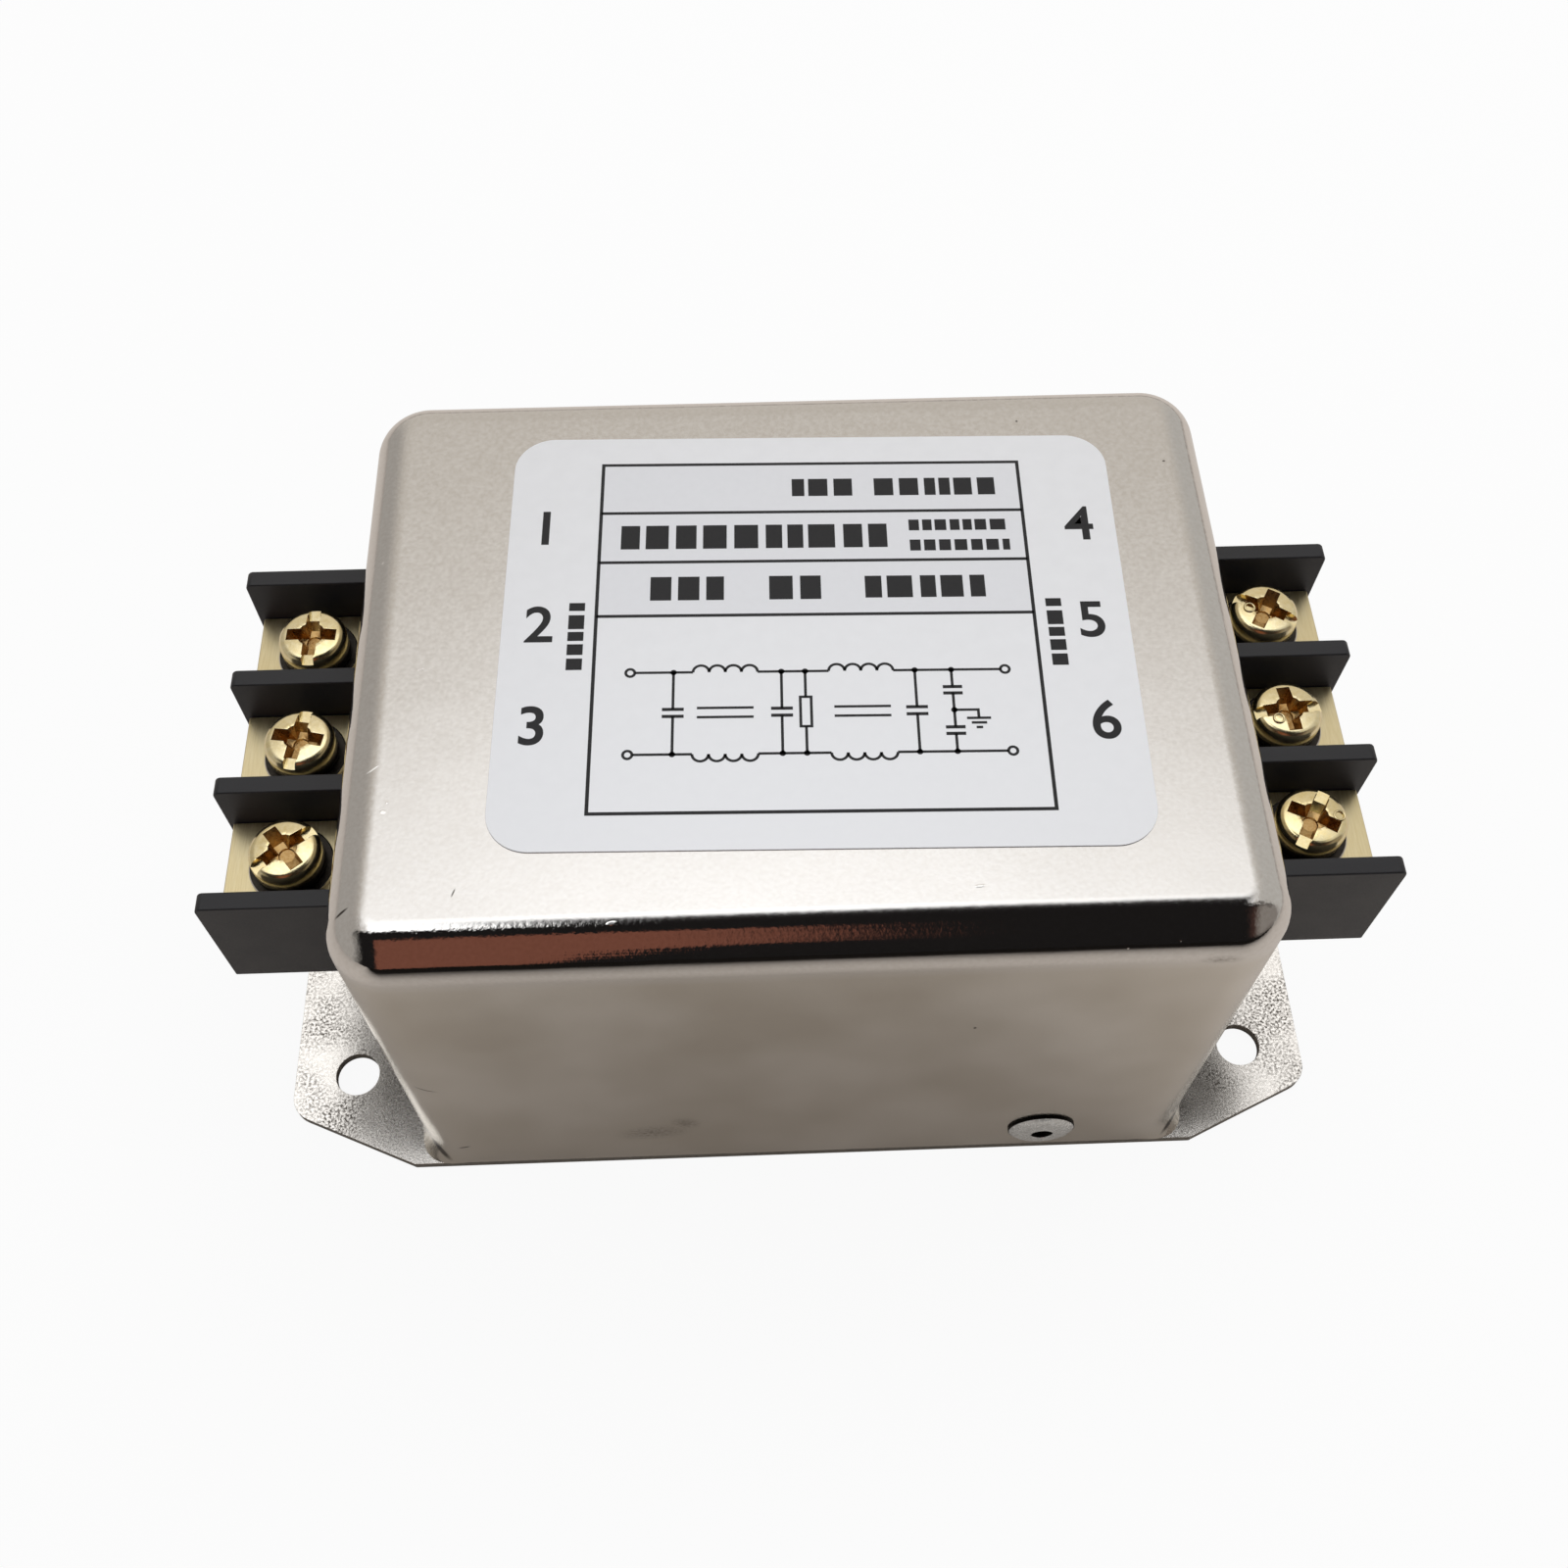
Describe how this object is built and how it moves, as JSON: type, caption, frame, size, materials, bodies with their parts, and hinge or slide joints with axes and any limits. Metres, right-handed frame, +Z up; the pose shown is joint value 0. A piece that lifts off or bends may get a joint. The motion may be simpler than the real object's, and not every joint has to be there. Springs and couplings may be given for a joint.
{
  "type": "emi line filter",
  "caption": "Chassis-mounted mains EMI filter: a nickel-plated drawn steel can on an eared base plate, with a black barrier terminal block at each end.",
  "frame": {"origin": "centre of the base plate's underside", "axes": "+X from the line terminals to the load terminals, +Y to the back, +Z up out of the label"},
  "size_m": [0.1156, 0.0666, 0.0543],
  "materials": {
    "nickel_can": "bright nickel plating on drawn steel",
    "nickel_plate": "nickel plating on flat steel sheet",
    "rivet_steel": "plain steel blind rivet",
    "label_film": "satin silver-white film with black print",
    "block_black": "black moulded thermoset",
    "brass_strip": "stamped brass strip",
    "brass_screw": "bright brass screw",
    "steel_washer": "nickel-plated steel washer",
    "board_laminate": "glass-epoxy laminate with green mask",
    "nylon_white": "natural nylon",
    "insulating_film": "pale insulating card",
    "core_coating": "epoxy-coated ferrite ring",
    "copper_wire": null,
    "capacitor_yellow": "moulded capacitor box",
    "capacitor_blue": "dipped ceramic disc",
    "resistor_lacquer": "lacquered resistor body"
  },
  "bodies": {
    "root": {"housing_can": "nickel_can", "base_plate": "nickel_plate", "rivet_front": "rivet_steel", "rivet_back": "rivet_steel", "rating_label": "label_film", "circuit_board": "board_laminate", "board_posts": "nylon_white", "insulating_sheet": "insulating_film", "earth_tag": "brass_strip", "bleed_resistor": "resistor_lacquer", "y_capacitor_live": "capacitor_blue", "y_capacitor_neutral": "capacitor_blue", "terminal_block_line": "block_black", "terminal_plate_line_1": "brass_strip", "terminal_screw_line_1": "brass_screw", "spring_washer_line_1": "steel_washer", "flat_washer_line_1": "steel_washer", "terminal_plate_line_2": "brass_strip", "terminal_screw_line_2": "brass_screw", "spring_washer_line_2": "steel_washer", "flat_washer_line_2": "steel_washer", "terminal_plate_line_3": "brass_strip", "terminal_screw_line_3": "brass_screw", "spring_washer_line_3": "steel_washer", "flat_washer_line_3": "steel_washer", "choke_core_line": "core_coating", "choke_divider_line": "insulating_film", "choke_winding_line_live": "copper_wire", "choke_winding_line_neutral": "copper_wire", "terminal_block_load": "block_black", "terminal_plate_load_1": "brass_strip", "terminal_screw_load_1": "brass_screw", "spring_washer_load_1": "steel_washer", "flat_washer_load_1": "steel_washer", "terminal_plate_load_2": "brass_strip", "terminal_screw_load_2": "brass_screw", "spring_washer_load_2": "steel_washer", "flat_washer_load_2": "steel_washer", "terminal_plate_load_3": "brass_strip", "terminal_screw_load_3": "brass_screw", "spring_washer_load_3": "steel_washer", "flat_washer_load_3": "steel_washer", "choke_core_load": "core_coating", "choke_divider_load": "insulating_film", "choke_winding_load_live": "copper_wire", "choke_winding_load_neutral": "copper_wire", "x_capacitor_line": "capacitor_yellow", "x_capacitor_middle": "capacitor_yellow", "x_capacitor_load": "capacitor_yellow"}
  },
  "joints": []
}
